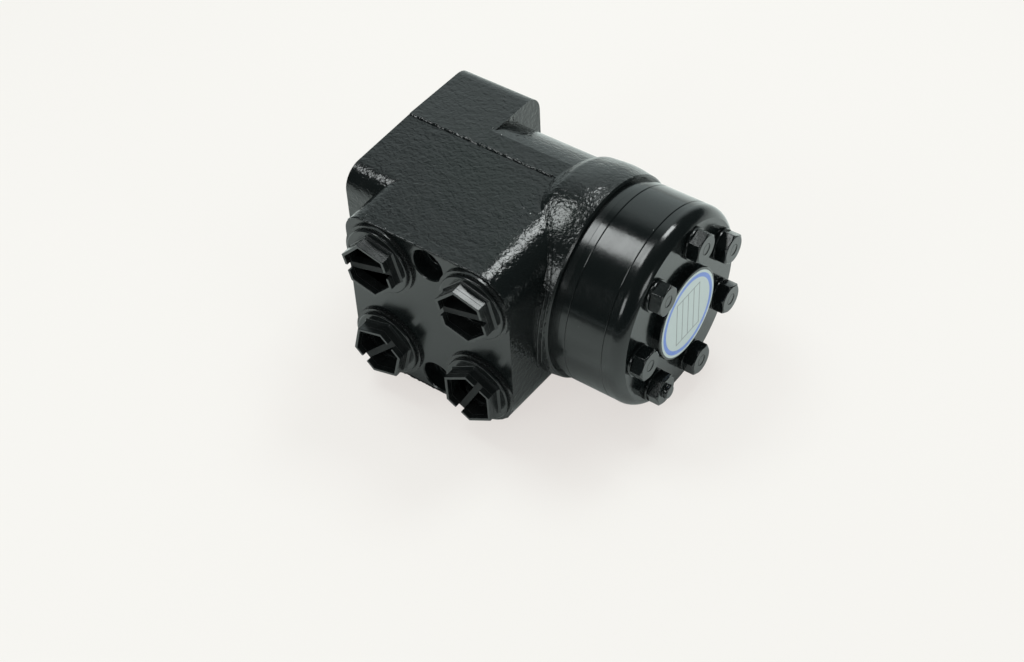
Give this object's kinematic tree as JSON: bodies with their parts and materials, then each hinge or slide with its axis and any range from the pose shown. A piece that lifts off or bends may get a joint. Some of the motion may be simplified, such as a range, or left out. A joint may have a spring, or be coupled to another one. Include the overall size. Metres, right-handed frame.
{
  "type": "orbital steering unit",
  "caption": "Hydrostatic steering unit with a cast ported housing, spool and sleeve valve, orbiting gear set, rounded end cover and screw plugs in the ports.",
  "frame": {"origin": "centre of the column mounting face, on the spool's axis", "axes": "+X out of the column mounting face along the spool's axis, +Y out of the port face, +Z out of the flat cast side with the parting line; the gear set lies at -X"},
  "size_m": [0.1505, 0.1226, 0.0972],
  "materials": {
    "painted_casting": "gloss black paint over a sand-cast skin",
    "painted_steel": "semi-gloss black paint over machined steel",
    "painted_screws": "satin black paint",
    "label": "printed film, pale grey with blue segments",
    "seal_rubber": "matt",
    "seal_plastic": "filled PTFE",
    "plug_plastic": "satin black moulded polyethylene",
    "ground_steel": "ground",
    "cage_brass": "pressed",
    "spring_steel": "blued"
  },
  "bodies": {
    "housing_set": {"housing": "painted_casting", "plug_seals": "seal_rubber", "thrust_outer_race": "ground_steel", "dust_seal": "seal_rubber", "shaft_seal_ring": "seal_plastic", "shaft_o_ring": "seal_rubber", "rim_o_ring": "seal_rubber", "plate_o_ring": "seal_rubber", "cover_o_ring": "seal_rubber", "distribution_plate": "painted_steel", "gear_rim": "painted_steel", "end_cover": "painted_steel", "label": "label", "cover_screws": "painted_screws", "special_screw": "painted_screws", "cover_washers": "painted_screws", "check_bushing": "ground_steel", "stop_pin": "ground_steel", "plug_front_upper": "plug_plastic", "plug_rear_upper": "plug_plastic", "plug_front_lower": "plug_plastic", "plug_rear_lower": "plug_plastic"},
    "sleeve_set": {"sleeve": "ground_steel", "cross_pin": "ground_steel", "spring_ring": "spring_steel", "flat_springs": "spring_steel", "arched_springs": "spring_steel", "thrust_inner_race": "ground_steel"},
    "spool": {"spool": "ground_steel"},
    "needle_bearing": {"needle_cage": "cage_brass", "thrust_needles": "ground_steel"},
    "spacer": {"spacer": "ground_steel"},
    "rotor": {"rotor": "ground_steel"},
    "cardan_shaft": {"cardan_shaft": "ground_steel"},
    "check_ball": {"check_ball": "ground_steel"}
  },
  "joints": [
    {"name": "sleeve_turn", "type": "hinge", "parent": "housing_set", "child": "sleeve_set", "pos_m": [-0.06, 0, 0], "axis": [1, 0, 0], "continuous": true},
    {"name": "spool_deflect", "type": "hinge", "parent": "sleeve_set", "child": "spool", "pos_m": [-0.06, 0, 0], "axis": [1, 0, 0], "range_deg": [-8, 8], "stiffness_Nm_per_rad": 4, "deforming": ["flat_springs", "arched_springs"]},
    {"name": "needle_roll", "type": "hinge", "parent": "housing_set", "child": "needle_bearing", "pos_m": [-0.018, 0, 0], "axis": [1, 0, 0], "continuous": true},
    {"name": "rotor_orbit", "type": "hinge", "parent": "housing_set", "child": "spacer", "pos_m": [-0.1225, 0, 0], "axis": [1, 0, 0], "continuous": true},
    {"name": "rotor_spin", "type": "hinge", "parent": "spacer", "child": "rotor", "pos_m": [-0.1225, 0.003, 0], "axis": [1, 0, 0], "continuous": true},
    {"name": "cardan_spin", "type": "hinge", "parent": "spacer", "child": "cardan_shaft", "pos_m": [-0.084, 0, 0], "axis": [0.997, -0.0777, 0], "continuous": true},
    {"name": "check_ball_lift", "type": "slide", "parent": "housing_set", "child": "check_ball", "axis": [-1, 0, 0], "range_m": [0, 0.0018]}
  ],
  "couplings": [
    {"joint": "needle_roll", "follows": "sleeve_turn", "ratio": 0.5},
    {"joint": "rotor_orbit", "follows": "sleeve_turn", "ratio": -6},
    {"joint": "rotor_spin", "follows": "sleeve_turn", "ratio": 7},
    {"joint": "cardan_spin", "follows": "sleeve_turn", "ratio": 7}
  ]
}
